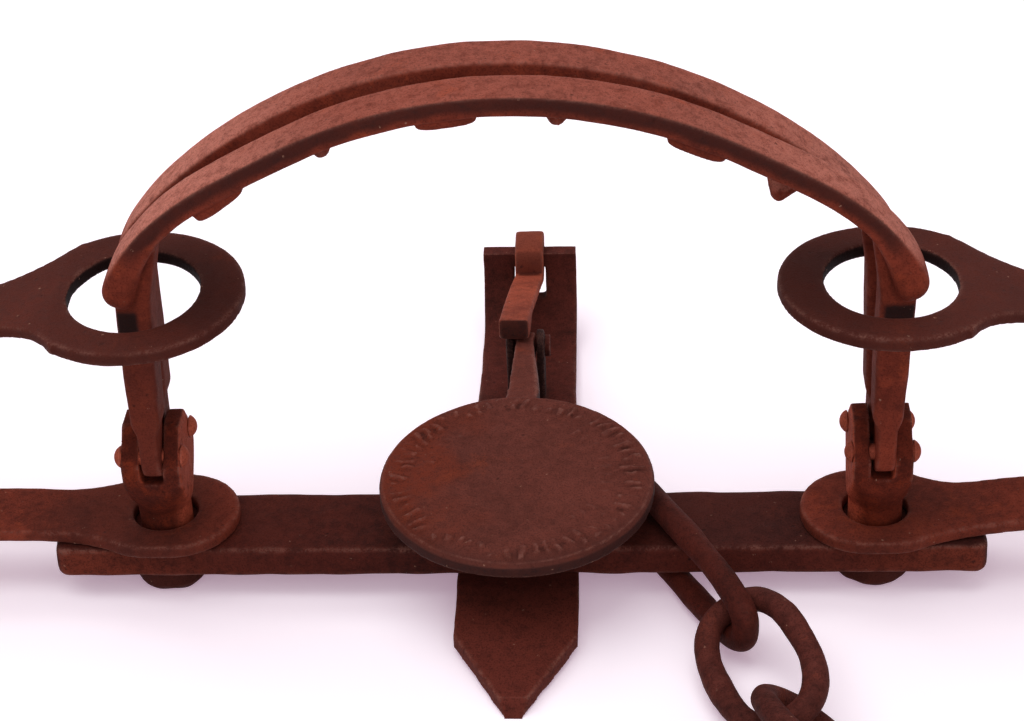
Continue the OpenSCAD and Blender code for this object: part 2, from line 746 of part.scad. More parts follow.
// Ring for the stake, hung in the swivel's eye with its far side on the ground
module end_ring() {
    inside = swivel_len + swivel_boss_l + link_gap_play + eye_wire + swivel_eye_d;
    near = inside - ring_wire / 2 - link_gap_play / 2;
    fall = asin((chain_z - ring_wire / 2) / (2 * end_ring_r));
    color(rust_brown) at_swivel() translate([near, 0, 0]) rotate([0, fall, 0])
        translate([end_ring_r, 0, 0]) rotate_extrude()
            translate([end_ring_r, 0]) circle(d = ring_wire, $fn = 24);
}

base_bar();
cross_strap();
cross_rivet();
left_post();
right_post();
left_front_pin();
left_rear_pin();
right_front_pin();
right_rear_pin();
front_jaw();
rear_jaw();
left_spring_lower();
left_spring_upper();
right_spring_lower();
right_spring_upper();
pan();
pan_pin();
dog();
long_link();
chain_link_1();
chain_link_2();
chain_link_3();
chain_link_4();
chain_link_5();
chain_link_6();
chain_link_7();
chain_link_8();
swivel_body();
swivel_pin();
end_ring();
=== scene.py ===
import bpy
import numpy as np
from mathutils import Matrix, Vector


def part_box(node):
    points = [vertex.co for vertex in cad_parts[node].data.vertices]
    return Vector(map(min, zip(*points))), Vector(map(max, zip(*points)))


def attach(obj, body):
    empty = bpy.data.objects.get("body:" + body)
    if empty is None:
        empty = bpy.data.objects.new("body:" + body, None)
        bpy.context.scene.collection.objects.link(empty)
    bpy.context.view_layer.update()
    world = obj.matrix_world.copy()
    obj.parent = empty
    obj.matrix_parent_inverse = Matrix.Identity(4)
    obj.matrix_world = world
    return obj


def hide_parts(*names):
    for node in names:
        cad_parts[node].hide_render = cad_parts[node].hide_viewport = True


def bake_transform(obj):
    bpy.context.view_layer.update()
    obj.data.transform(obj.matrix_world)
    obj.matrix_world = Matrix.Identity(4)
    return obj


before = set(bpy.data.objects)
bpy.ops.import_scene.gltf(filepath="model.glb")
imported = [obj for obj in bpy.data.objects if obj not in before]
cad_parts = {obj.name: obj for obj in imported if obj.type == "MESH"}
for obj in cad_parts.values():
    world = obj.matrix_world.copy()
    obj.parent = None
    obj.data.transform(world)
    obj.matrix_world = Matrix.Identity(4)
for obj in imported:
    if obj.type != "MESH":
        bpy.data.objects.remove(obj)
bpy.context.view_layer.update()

# Base bar
# A flat bar of rolled iron that carries the whole trap, sheared to length with its corners knocked round.
# Both posts and the cross strap are riveted through it. It is the darkest piece.
MM = 0.001
BAR_CORNER, BAR_END_THIN, BAR_CRISP, BAR_STATIONS = 3.0, 0.3, 14, 200
# Painted light on the front of the bar towards both ends
BAR_LIT, BAR_LIT_X = 0.45, (60, 100)
# Painted shadow on the top of the bar to the right of the pan
BAR_SHADE, BAR_SHADE_X = 0.5, (20, 40)
FACING = (0.5, 0.9)


def corners(node):
    """Lowest and highest corner of a solid, in millimetres."""
    low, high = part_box(node)
    return np.array(low) / MM, np.array(high) / MM


def bar_loop(half_a, half_b, power, count=48):
    """Cross-sections |a / half_a|^power + |b / half_b|^power = 1: round at power 2, a crisp bar from 8 up.
    The halves and the power may be arrays, one entry for each station along the piece."""
    turn = np.linspace(0, 2 * np.pi, count, endpoint=False)
    share = 2 / np.asarray(power, float)[..., None]
    cos, sin = np.cos(turn), np.sin(turn)
    a = np.asarray(half_a, float)[..., None] * np.sign(cos) * np.abs(cos) ** share
    b = np.asarray(half_b, float)[..., None] * np.sign(sin) * np.abs(sin) ** share
    return a, b


def loft(x, y, z, closed=False):
    """Shell through a stack of loops: quads from each loop to the next, and a fan over both ends
    unless the stack runs back into itself."""
    points = np.stack(np.broadcast_arrays(x, y, z), -1)
    stations, count = points.shape[:2]
    here = np.arange(stations * count).reshape(stations, count)
    there = np.roll(here, -1, 0)
    if not closed:
        here, there = here[:-1], there[:-1]
    quads = np.stack([here, np.roll(here, -1, 1), np.roll(there, -1, 1), there], -1).reshape(-1, 4)
    points = points.reshape(-1, 3)
    if closed:
        return points, quads.tolist()
    first, last = np.arange(count), np.arange(count) + (stations - 1) * count
    hub = stations * count
    fans = np.vstack([
        np.stack([np.full(count, hub), np.roll(first, -1), first], -1),
        np.stack([np.full(count, hub + 1), last, np.roll(last, -1)], -1),
    ])
    points = np.vstack([points, points[first].mean(0), points[last].mean(0)])
    return points, quads.tolist() + fans.tolist()


def soft_step(value, low, high):
    """0 below low, 1 above high, and a smooth step 3t^2 - 2t^3 between them."""
    t = np.clip((value - low) / (high - low), 0, 1)
    return t * t * (3 - 2 * t)


WAVES, WAVE_SPREAD, LUMP_LEVEL = 12, (0.5, 1.5), 3.5


def lumps(points, size, seed):
    """Smooth unevenness of about one lump per size: a sum of plane waves in seeded directions, with lengths
    spread about that size, brought to a level of about 1."""
    draw = np.random.default_rng(seed)
    waves = draw.normal(size=(WAVES, 3))
    spread = 2 * np.pi / size * draw.uniform(*WAVE_SPREAD, (WAVES, 1))
    waves *= spread / np.linalg.norm(waves, axis=1)[:, None]
    return np.sin(points @ waves.T + draw.uniform(0, 2 * np.pi, WAVES)).sum(1) / LUMP_LEVEL


WEAR, CALM_ROUNDS = 0.5, 10
HAMMER_MARK, PEEN_MARK, PEEN_SHARE = 16, 5, 0.3


def forge(name, shells, voxel=0.5, rounds=3, uneven=0.08, seed=1, shape=None, dark_and_shade=None, pale=None):
    """One skin over overlapping shells: they are fused on a grid of voxels, their edges are worn round by
    smoothing, and the skin is beaten uneven along its normals. Each point keeps how far it stands out of its
    neighbourhood as the attribute worn, how far it lies back as sunk, where it is pale, mostly with painted
    light, and how dark it is, mostly with painted shade, which goes up to 2 for painted black shade."""
    starts = np.cumsum([0] + [len(points) for points, _ in shells])
    faces = [[corner + start for corner in face] for (_, own), start in zip(shells, starts) for face in own]
    skin = bpy.data.objects.new(name, bpy.data.meshes.new(name))
    skin.data.from_pydata(np.vstack([points for points, _ in shells]) * MM, [], faces)
    bpy.context.scene.collection.objects.link(skin)
    fuse = skin.modifiers.new("fuse", "REMESH")
    fuse.mode = "VOXEL"
    fuse.voxel_size = voxel * MM
    wear = skin.modifiers.new("wear", "SMOOTH")
    wear.factor = WEAR
    wear.iterations = rounds
    mesh = bpy.data.meshes.new_from_object(skin.evaluated_get(bpy.context.evaluated_depsgraph_get()))
    skin.modifiers.clear()
    skin.data = mesh

    points = np.empty(3 * len(mesh.vertices), np.float32)
    mesh.vertices.foreach_get("co", points)
    normals = np.empty_like(points)
    mesh.vertex_normals.foreach_get("vector", normals)
    points, normals = points.reshape(-1, 3) / MM, normals.reshape(-1, 3)
    height = uneven * (lumps(points, HAMMER_MARK, seed) + PEEN_SHARE * lumps(points, PEEN_MARK, seed + 1))
    if shape is not None:
        height = height + shape(points, normals)
    points = points + normals * height[:, None]
    mesh.vertices.foreach_set("co", (points * MM).astype(np.float32).ravel())

    ends = np.empty(2 * len(mesh.edges), np.int32)
    mesh.edges.foreach_get("vertices", ends)
    one, other = ends.reshape(-1, 2).T
    links = np.bincount(ends, minlength=len(points))[:, None]
    calm = points
    for _ in range(CALM_ROUNDS):
        sums = [np.bincount(one, calm[other, k], len(calm)) + np.bincount(other, calm[one, k], len(calm))
                for k in range(3)]
        calm = np.stack(sums, -1) / links
    proud = ((points - calm) * normals).sum(1) / voxel
    none = np.zeros(len(points))
    black, light = (none if mask is None else mask(points, normals) for mask in (dark_and_shade, pale))
    marks = {"worn": (proud, 1), "sunk": (-proud, 1), "dark_and_shade": (black, 2), "pale": (light, 1)}
    for label, (value, most) in marks.items():
        attribute = mesh.attributes.new(label, "FLOAT", "POINT")
        attribute.data.foreach_set("value", np.clip(value, 0, most).astype(np.float32))
    mesh.polygons.foreach_set("use_smooth", np.ones(len(mesh.polygons), bool))
    mesh.update()
    return skin


class Rust:
    """A shader socket. Sums, differences and products of sockets add Math nodes to the material."""

    def __init__(self, tree, socket=None):
        self.tree = tree
        self.socket = socket

    def node(self, kind, settings, inputs, output=0):
        """Adds a node: its settings first, then the values or links of its sockets."""
        made = self.tree.nodes.new(kind)
        for key, value in settings.items():
            setattr(made, key, value)
        for key, value in inputs.items():
            if isinstance(value, Rust):
                self.tree.links.new(value.socket, made.inputs[key])
            else:
                made.inputs[key].default_value = value
        return Rust(self.tree, made.outputs[output])

    def math(self, operation, *values):
        """A Math node on sockets or numbers."""
        return self.node("ShaderNodeMath", {"operation": operation}, dict(enumerate(values)))

    def __add__(self, other):
        return self.math("ADD", self, other)

    def __sub__(self, other):
        return self.math("SUBTRACT", self, other)

    def __rsub__(self, other):
        return self.math("SUBTRACT", other, self)

    def __mul__(self, other):
        return self.math("MULTIPLY", self, other)

    __radd__ = __add__
    __rmul__ = __mul__

    def between(self, low, high):
        """0 below low, 1 above high, and a soft step from one to the other."""
        return self.node("ShaderNodeMapRange", {"interpolation_type": "SMOOTHSTEP"},
                         {"Value": self, "From Min": low, "From Max": high})

    def toward(self, colour, share):
        """This colour mixed towards another one."""
        return self.node("ShaderNodeMix", {"data_type": "RGBA"}, {0: share, 6: self, 7: colour}, 2)


def tone(red, green, blue):
    """A colour as the eye names it, 0 to 255, in the light values that a shader takes."""
    return tuple(((c / 255 + 0.055) / 1.055) ** 2.4 for c in (red, green, blue)) + (1.0,)


def dimmed(colour, share):
    """A colour with a share of its light."""
    return tuple(share * c for c in colour[:3]) + (1.0,)


# How many of each mark lie in a metre
CLOUDS, DRIFTS, MOTTLES, GRAINS, PITS, SPECKS = 42, 75, 420, 2300, 420, 230
BUMP, BUMP_H, SHEEN = 0.6, 0.5 * MM, 0.08
# Brown for darkening that is mostly painted shade, a pale for edges worn paler that is partly painted
# highlight, and dust
DARK_AND_SHADE_BROWN, RUBBED_AND_HIGHLIGHT, DUST = tone(48, 25, 23), tone(156, 104, 92), tone(180, 132, 112)


def rusted(name, deep, main, bloom, bloom_from=0.55, seed=0.0, pale_and_lit_tone=None):
    """Old rust: brown mottled over a deeper brown, a paler tone that is mostly painted light, orange bloom in
    drifts, darkening that is mostly painted shade, dark grains and pits, painted shade where the surface lies
    back, edges worn paler and partly painted highlight where it stands out, black that is mostly painted deep
    shade, and a few pale specks of dust. Each layer is mixed over the last by its own mask."""
    material = bpy.data.materials.new(name)
    material.use_nodes = True
    tree = material.node_tree
    shader = tree.nodes["Principled BSDF"]
    start = Rust(tree)
    place = start.node("ShaderNodeTexCoord", {}, {}, "Object")
    place = start.node("ShaderNodeVectorMath", {"operation": "ADD"}, {0: place, 1: (seed, seed, seed)})

    def grain(scale, detail, roughness=0.6, distortion=0.0):
        """Noise with so many lumps in a metre."""
        return start.node("ShaderNodeTexNoise", {}, {
            "Vector": place, "Scale": scale, "Detail": detail, "Roughness": roughness,
            "Distortion": distortion})

    cloud, drift = grain(CLOUDS, 4, 0.6, 0.4), grain(DRIFTS, 6, 0.7, 0.6)
    mottle, grit = grain(MOTTLES, 5, 0.7), grain(GRAINS, 3, 0.65)
    cell, fleck = (start.node("ShaderNodeTexVoronoi", {}, {"Vector": place, "Scale": scale}, "Distance")
                   for scale in (PITS, SPECKS))
    worn, sunk, dark_and_shade, pale = (start.node("ShaderNodeAttribute", {"attribute_name": label}, {}, "Fac")
                              for label in ("worn", "sunk", "dark_and_shade", "pale"))
    pit = (1 - cell.between(0.08, 0.3)) * mottle.between(0.55, 0.66)

    mottled = (cloud * 0.5 + mottle * 0.5).between(0.3, 0.64)
    body = start.node("ShaderNodeMix", {"data_type": "RGBA"}, {0: mottled, 6: deep, 7: main}, 2)
    layers = (
        # A paler tone, mostly painted light; on the pan it is fresh orange rust
        (pale_and_lit_tone or main, pale * (0.3 + 0.7 * mottle.between(0.25, 0.6))),
        (bloom, (drift * 0.8 + mottle * 0.2).between(bloom_from, bloom_from + 0.2) * 0.75),
        # Darkening, mostly painted shade
        (DARK_AND_SHADE_BROWN, dark_and_shade * (0.8 + 0.8 * (mottle - 0.5))),
        (dimmed(deep, 0.5), grit.between(0.48, 0.66) * 0.5),
        (dimmed(deep, 0.4), pit * 0.75),
        # Painted shade where the surface lies back
        (dimmed(deep, 0.3), sunk.between(0.12, 0.9) * 0.8),
        # Edges worn paler, partly painted highlight
        (RUBBED_AND_HIGHLIGHT, worn.between(0.3, 1.0) * (mottle + grit).between(0.85, 1.2) * 0.4),
        # Black where the darkening goes past 1, mostly painted deep shade
        (dimmed(DARK_AND_SHADE_BROWN, 0.25), dark_and_shade.between(1.0, 2.0) * 0.9),
        (DUST, (1 - fleck.between(0.04, 0.1)) * grit.between(0.52, 0.6) * 0.6),
    )
    for colour, share in layers:
        body = body.toward(colour, share)
    rough = 0.88 - worn * 0.18 - mottle * 0.2
    height = mottle * 0.35 + grit * 0.6 - pit * 0.7
    bump = start.node("ShaderNodeBump", {}, {"Strength": BUMP, "Distance": BUMP_H, "Height": height})
    tree.links.new(body.socket, shader.inputs["Base Color"])
    tree.links.new(rough.socket, shader.inputs["Roughness"])
    tree.links.new(bump.socket, shader.inputs["Normal"])
    shader.inputs["Specular IOR Level"].default_value = SHEEN
    return material


def settle(piece, body, slot, material, *nodes):
    """Finishes a piece: its rust, the body that carries it and the solids that it stands for. Its slot is not
    used.
    """
    piece.data.materials.append(material)
    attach(piece, body)
    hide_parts(*nodes)


# Its paler tone is the colour of the painted light on the front of the bar
bar_rust = rusted("bar_rust", tone(46, 17, 14), tone(84, 33, 25), tone(106, 44, 28), bloom_from=0.57,
                  pale_and_lit_tone=tone(134, 58, 40))

bar_low, bar_high = corners("base_bar")
bar_half = (bar_high - bar_low) / 2
bar_x = bar_half[0] * np.sin(np.linspace(-np.pi / 2, np.pi / 2, BAR_STATIONS))
bar_short = np.clip(BAR_CORNER - bar_half[0] + np.abs(bar_x), 0, BAR_CORNER)
bar_inset = BAR_CORNER - np.sqrt(BAR_CORNER ** 2 - bar_short ** 2)
bar_a, bar_b = bar_loop(bar_half[1] - bar_inset, bar_half[2] - BAR_END_THIN * bar_inset, BAR_CRISP)
bar_shell = loft(bar_x[:, None], bar_a, bar_b + (bar_low + bar_half)[2])


def lit_ends(points, normals):
    """Painted light: the front of the bar is lighter and oranger towards both ends."""
    return BAR_LIT * soft_step(np.abs(points[:, 0]), *BAR_LIT_X) * soft_step(-normals[:, 1], *FACING)


def shaded_top(points, normals):
    """Painted shadow: the top of the bar is darker to the right of the pan."""
    return BAR_SHADE * soft_step(points[:, 0], *BAR_SHADE_X) * soft_step(normals[:, 2], *FACING)


bar_skin = forge("base_bar_skin", [bar_shell], uneven=0.12, dark_and_shade=shaded_top, pale=lit_ends)
settle(bar_skin, "frame", "dark_rust", bar_rust, "base_bar")

# Cross strap and its rivet
# A strap of flat iron under the bar, drawn to a point in front and bent up behind, with the pan's two ears
# cut and raised out of it. One rivet, headed over both ways, holds it to the bar.
# Painted light on the front of the strap
POINT_LIT, POINT_Y = 0.9, (14, 26)
# The upright darker towards its top, and painted black shade on the ears
UPRIGHT_DARK, UPRIGHT_Y, UPRIGHT_Z = 0.5, (60, 80), (20, 60)
EAR_SHADE, EAR_Y, EAR_Z, EAR_OUT = 1.5, (58, 60, 71, 73), (5, 8), 5.6
# Its paler tone is the colour of the painted light on the front of the strap
strap_rust = rusted("strap_rust", tone(54, 23, 19), tone(90, 38, 31), tone(116, 50, 32), bloom_from=0.56,
                    seed=0.2, pale_and_lit_tone=tone(100, 43, 34))


def solid(node):
    """Shell of a CAD solid with its loose triangles joined."""
    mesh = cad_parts[node].data
    points = np.empty(3 * len(mesh.vertices), np.float32)
    mesh.vertices.foreach_get("co", points)
    points, places = np.unique(points.reshape(-1, 3).round(7), axis=0, return_inverse=True)
    sides = np.empty(3 * len(mesh.polygons), np.int32)
    mesh.loops.foreach_get("vertex_index", sides)
    return points / MM, places.ravel()[sides].reshape(-1, 3).tolist()


def soft_band(value, low, full, fade, high):
    """1 from full to fade, with a smooth step up to it from low and down from it to high."""
    return soft_step(value, low, full) * (1 - soft_step(value, fade, high))


def lit_point(points, normals):
    """Painted light: the front of the strap is lighter."""
    return POINT_LIT * soft_step(-points[:, 1], *POINT_Y)


def dark_upright_shaded_ears(points, normals):
    """The upright is darker towards its top, and the ears are painted black shade."""
    upright = UPRIGHT_DARK * soft_step(points[:, 2], *UPRIGHT_Z) * soft_step(points[:, 1], *UPRIGHT_Y)
    ears = soft_band(points[:, 1], *EAR_Y) * soft_step(points[:, 2], *EAR_Z)
    return np.maximum(upright, EAR_SHADE * ears * (np.abs(points[:, 0]) < EAR_OUT))


for node, voxel in (("cross_strap", 0.5), ("cross_rivet", 0.4)):
    skin = forge(node + "_skin", [solid(node)], voxel, seed=5, dark_and_shade=dark_upright_shaded_ears, pale=lit_point)
    settle(skin, "frame", "dark_rust", strap_rust, node)

# Posts
# Two forged posts. Each is a round shank drawn out into a fork with gabled cheeks; the shank passes through
# the spring's eye and the bar, and is beaten over into a broad foot underneath.
POST_MARK_H, POST_MARK, POST_MARK_Z = 0.22, 6, (5, 9)
OUTER_LEAN, OUTER_LEAN_Z, INNER_LEAN, INNER_LEAN_Z = 1.4, (40, 45), 1.2, (36, 45)
# Painted shade on the foot under the bar and on the left post
FOOT_SHADE, FOOT_SHADE_Z, LEFT_POST_SHADE = 0.8, (6, 10), 0.2
# Painted light on the sides of the posts that face the middle
CHEEK_LIT, CHEEK_FACING, CHEEK_Z = 0.9, (0.4, 0.85), (9, 14)
POST_X = corners("right_post")[0][0] / 2 + corners("right_post")[1][0] / 2
# Its paler tone is the colour of the painted light on the inner sides
post_rust = rusted("post_rust", tone(62, 21, 14), tone(104, 38, 24), tone(146, 55, 29), bloom_from=0.5,
                   seed=0.3, pale_and_lit_tone=tone(190, 86, 62))


def forged_post(points, normals):
    """Hammer marks on the foot: lumps of a few millimetres that fade out above it. At the top of the fork the
    outer cheek leans in, and the slot opens towards the inner cheek."""
    marks = POST_MARK_H * lumps(points, POST_MARK, 21) * (1 - soft_step(points[:, 2], *POST_MARK_Z))
    outwards = soft_step(np.sign(points[:, 0]) * normals[:, 0], *FACING)
    outer = OUTER_LEAN * soft_step(points[:, 2], *OUTER_LEAN_Z)
    inner = INNER_LEAN * soft_step(points[:, 2], *INNER_LEAN_Z)
    return marks - np.where(np.abs(points[:, 0]) > POST_X, outer, inner) * outwards


def shaded_foot(points, normals):
    """Painted shade: the foot under the bar is black, and the left post is darker than the right one."""
    foot = FOOT_SHADE * (1 - soft_step(points[:, 2], *FOOT_SHADE_Z))
    return np.maximum(foot, LEFT_POST_SHADE * (points[:, 0] < 0))


def lit_inner_cheek(points, normals):
    """Painted light: the sides that face the middle of the trap are a bright orange red above the foot."""
    inwards = soft_step(-np.sign(points[:, 0]) * normals[:, 0], *CHEEK_FACING)
    return CHEEK_LIT * inwards * soft_step(points[:, 2], *CHEEK_Z)


for node, seed in (("left_post", 31), ("right_post", 37)):
    skin = forge(node + "_skin", [solid(node)], voxel=0.4, rounds=8, uneven=0.06, seed=seed,
                 shape=forged_post, dark_and_shade=shaded_foot, pale=lit_inner_cheek)
    settle(skin, "frame", "post_rust", post_rust, node)

# Jaws and their pins
# Two like jaws, the front one turned about. Each is a flat bar bent to an arch whose ends turn down into
# rounded feet, with three teeth under it and two legs that hinge on riveted pins in the forks.
ARCH_W, ARCH_H, ARCH_GAP, ARCH_R, ARCH_CRISP = 11.0, 4.8, 2.7, 105.4, 9
ARCH_END, ARCH_STATIONS = np.radians(55.1), 241
BEND_FROM, BEND_IN = np.radians(50), 176.0
SWELL_FROM, SWELL_TO = np.radians(28), np.radians(47)
FOOT_H, FOOT_FROM, FOOT_CRISP, FOOT_CRISP_FROM = 7.4, 0.82 * ARCH_END, 3.5, 0.86 * ARCH_END
FOOT_CAP, FOOT_CAP_TURN, FOOT_CURL = 4.4, 1.45, 1.3
LEG_T, LEG_LOW_W, LEG_TOP_W, LEG_CRISP = 9.0, 4.5, 8.2, 7
LEG_DROP, LEG_TAPER_Z, LEG_SHOULDER, LEG_SHOULDER_H = 43.5, 45.6, 2.2, 4
LEG_IN, LEG_TILT, LEG_TILT_H = 0.5, 0.95, 20
WEB_W, WEB_BELOW, WEB_ABOVE = 2.2, 11, 2
PIN_Y, PIN_Z = 6.0, 38.0
TOOTH_X, TOOTH_W, TOOTH_POINT, TOOTH_CRISP = (60.5, 12.5, -39.0), 13.0, 2.0, 3.4
TOOTH_REACH, TOOTH_DROP, TOOTH_SLOPE = 8.0, 2.4, np.radians(25)
TOOTH_BACK, TOOTH_BITE, TOOTH_ROUND_FROM, TOOTH_ROUND = 1.2, 0.5, 0.88, 0.122
# Painted shade on the left legs
LEG_SHADE, LEG_SHADE_X, LEG_SHADE_DROP = 0.45, (60, 70), (50, 66)
# A dark band on the front arch's upright faces, partly mill scale and partly painted shade
SCALE_AND_SHADE_DEPTH, SCALE_AND_SHADE_TURN, SCALE_AND_SHADE_FACING = (2.4, 4.2), (0.86 * ARCH_END, 0.95 * ARCH_END), (0.35, 0.8)
SCALE_AND_SHADE_WANDER, SCALE_AND_SHADE_LUMP = 0.3, 6
# Painted shadow on the legs right under the front arch's feet
UNDERFOOT_SHADOW, UNDERFOOT_SHADOW_DROP, UNDERFOOT_SHADOW_X = 1.5, (51, 53, 59, 63), (POST_X - 3, POST_X - 1.6)
# Pale red on the arch tops, partly their colour and partly painted light, more on the left shoulder
TOP_PALE_AND_LIT, TOP_DROP, TOP_FACING = 0.3, (38, 48), (0.2, 0.6)
LEFT_SHOULDER_LIT, RIGHT_SHOULDER_LIT, SHOULDER_X = 0.65, 0.45, (25, 76)
BENT_LEGS, BENT_FROM, BENT_DROP = 0.3, PIN_Z + 10, 36
# Each jaw: which way it is turned, how far use has bent it sideways, how much its shoulders swell, its seed
JAWS = {"rear_jaw": (1, -0.7, 0.5, 41), "front_jaw": (-1, 1.3, 2.7, 47)}
# Its paler tone is the pale red of the arch tops, partly their colour and partly painted light
jaw_rust = rusted("jaw_rust", tone(90, 36, 27), tone(132, 55, 39), tone(154, 64, 36), bloom_from=0.54,
                  seed=0.7, pale_and_lit_tone=tone(198, 122, 106))
pin_rust = rusted("pin_rust", tone(120, 54, 42), tone(186, 90, 68), tone(196, 94, 62), bloom_from=0.54,
                  seed=0.9)
crown_z = corners("rear_jaw")[1][2]


def arch_reach(turn, swell):
    """Outer radius of the arch at a turn from its crown: it swells towards the ends, and bends in at the last
    by the square of the turn past the bend."""
    past = np.clip(np.abs(turn) - BEND_FROM, 0, None)
    return ARCH_R + swell * soft_step(np.abs(turn), SWELL_FROM, SWELL_TO) - BEND_IN * past ** 2


def arch(swell):
    """A bar section carried along the arch. It thickens inwards at both ends, and there it runs straight on
    and closes like an ellipse."""
    cap = np.sin(np.linspace(0, FOOT_CAP_TURN, 12)[1:])
    turn = np.pad(np.linspace(-ARCH_END, ARCH_END, ARCH_STATIONS), len(cap), "edge")
    past = np.concatenate([-cap[::-1], np.zeros(ARCH_STATIONS), cap])
    thick = ARCH_H + (FOOT_H - ARCH_H) * soft_step(np.abs(turn), FOOT_FROM, ARCH_END)
    reach = arch_reach(turn, swell) - thick / 2
    step = np.gradient(reach[len(cap):-len(cap)], 2 * ARCH_END / (ARCH_STATIONS - 1))
    fall = turn - np.arctan2(np.pad(step, len(cap), "edge"), reach)
    close = np.sqrt(1 - past ** 2)
    crisp = ARCH_CRISP - (ARCH_CRISP - FOOT_CRISP) * soft_step(np.abs(turn), FOOT_CRISP_FROM, ARCH_END)
    across, radial = bar_loop(close * ARCH_W / 2, close * thick / 2, crisp)
    reach = reach - FOOT_CURL * past ** 2
    x = reach * np.sin(turn) + FOOT_CAP * past * np.cos(fall)
    z = crown_z - ARCH_R + reach * np.cos(turn) - FOOT_CAP * past * np.sin(fall)
    return loft(x[:, None] + radial * np.sin(fall)[:, None], across + ARCH_GAP + ARCH_W / 2,
                z[:, None] + radial * np.cos(fall)[:, None])


def leg(side):
    """Level sections up a leg: round about the pin, narrow in the fork, wider to the top, where a web spreads
    inwards and the sections tilt to lie along the arch."""
    high = crown_z - LEG_DROP
    under_pin = PIN_Z - LEG_T / 2 * np.cos(np.linspace(0.03, np.pi / 2, 16))
    z = np.concatenate([under_pin, np.linspace(PIN_Z, high, 90)[1:]])
    grow = np.clip((z - LEG_TAPER_Z) / (high - LEG_TAPER_Z), 0, 1)
    web = WEB_W * soft_step(z, high - WEB_BELOW, high + WEB_ABOVE)
    shoulder = LEG_SHOULDER * soft_step(z, LEG_TAPER_Z, LEG_TAPER_Z + LEG_SHOULDER_H)
    half_x = (LEG_LOW_W + shoulder + (LEG_TOP_W - LEG_LOW_W - LEG_SHOULDER) * grow + web) / 2
    half_y = np.sqrt(np.clip((LEG_T / 2) ** 2 - np.clip(PIN_Z - z, 0, None) ** 2, 0.01, None))
    across, deep = bar_loop(half_x, half_y, LEG_CRISP)
    x = across + (-LEG_IN * grow - web / 2)[:, None]
    tilt = LEG_TILT * soft_step(z, high - LEG_TILT_H, high)[:, None]
    return loft(side * (POST_X + x), deep + PIN_Y, z[:, None] - tilt * x)


def tooth(place, swell):
    """A tab across the underside of the arch that narrows past it to a blunt point, sloping down under the
    other arch. Sections stand across the tab and close at both ends."""
    share = np.linspace(0, 1, 60)
    y = ARCH_GAP + ARCH_W - TOOTH_BACK - share * (ARCH_W - TOOTH_BACK + TOOTH_REACH)
    past = np.clip(ARCH_GAP - y, 0, None)
    rounding = np.clip(np.abs(2 * share - 1) - TOOTH_ROUND_FROM, 0, None) / TOOTH_ROUND
    close = np.sqrt(np.clip(1 - rounding ** 2, 0.02, 1))
    half = (TOOTH_W - (TOOTH_W - TOOTH_POINT) * past / TOOTH_REACH) / 2
    along, up = bar_loop(close * half, close * (TOOTH_DROP / 2 + TOOTH_BITE), TOOTH_CRISP)
    up = up + (TOOTH_BITE - TOOTH_DROP / 2 - past * np.tan(TOOTH_SLOPE))[:, None]
    lean = np.arcsin(place / (ARCH_R - ARCH_H))
    reach = arch_reach(lean, swell) - ARCH_H + up
    x = reach * np.sin(lean) + along * np.cos(lean)
    z = crown_z - ARCH_R + reach * np.cos(lean) - along * np.sin(lean)
    return loft(x, y[:, None], z)


def dark_leg(points, normals):
    """Painted shade: the left legs are darker than the right ones."""
    low = soft_step(crown_z - points[:, 2], *LEG_SHADE_DROP)
    return LEG_SHADE * soft_step(-points[:, 0], *LEG_SHADE_X) * low


def flat_faces(points, normals):
    """The upright faces of the front arch have a dark band along their upper edge, partly mill scale and
    partly painted shade, and the legs right under its feet carry a painted shadow."""
    _, bent, swell, _ = JAWS["front_jaw"]
    x, rise = points[:, 0] - bent, points[:, 2] - crown_z + ARCH_R
    turn = np.arctan2(x, rise)
    depth = arch_reach(turn, swell) - np.hypot(x, rise) + SCALE_AND_SHADE_WANDER * lumps(points, SCALE_AND_SHADE_LUMP, 43)
    # A dark band along the upper edge, partly mill scale and partly painted shade
    scale = (1 - soft_step(depth, *SCALE_AND_SHADE_DEPTH)) * (1 - soft_step(np.abs(turn), *SCALE_AND_SHADE_TURN))
    scale = scale * soft_step(np.abs(normals[:, 1]), *SCALE_AND_SHADE_FACING)
    # Painted shadow on the legs under the feet
    underfoot_shadow = soft_band(crown_z - points[:, 2], *UNDERFOOT_SHADOW_DROP) * soft_step(np.abs(points[:, 0]), *UNDERFOOT_SHADOW_X)
    underfoot_shadow = underfoot_shadow * soft_step(-normals[:, 1], *FACING)
    return scale + dark_leg(points, normals) + UNDERFOOT_SHADOW * underfoot_shadow


def top_face(points, normals):
    """The top of the arch is a pale red, partly its colour and partly painted light, most of all on its
    shoulders, the left one more.
    """
    most = np.where(points[:, 0] < 0, LEFT_SHOULDER_LIT, RIGHT_SHOULDER_LIT)
    # Partly pale colour and partly painted light
    pale_and_lit = TOP_PALE_AND_LIT + most * soft_step(np.abs(points[:, 0]), *SHOULDER_X)
    return pale_and_lit * soft_step(normals[:, 2], *TOP_FACING) * (1 - soft_step(crown_z - points[:, 2], *TOP_DROP))


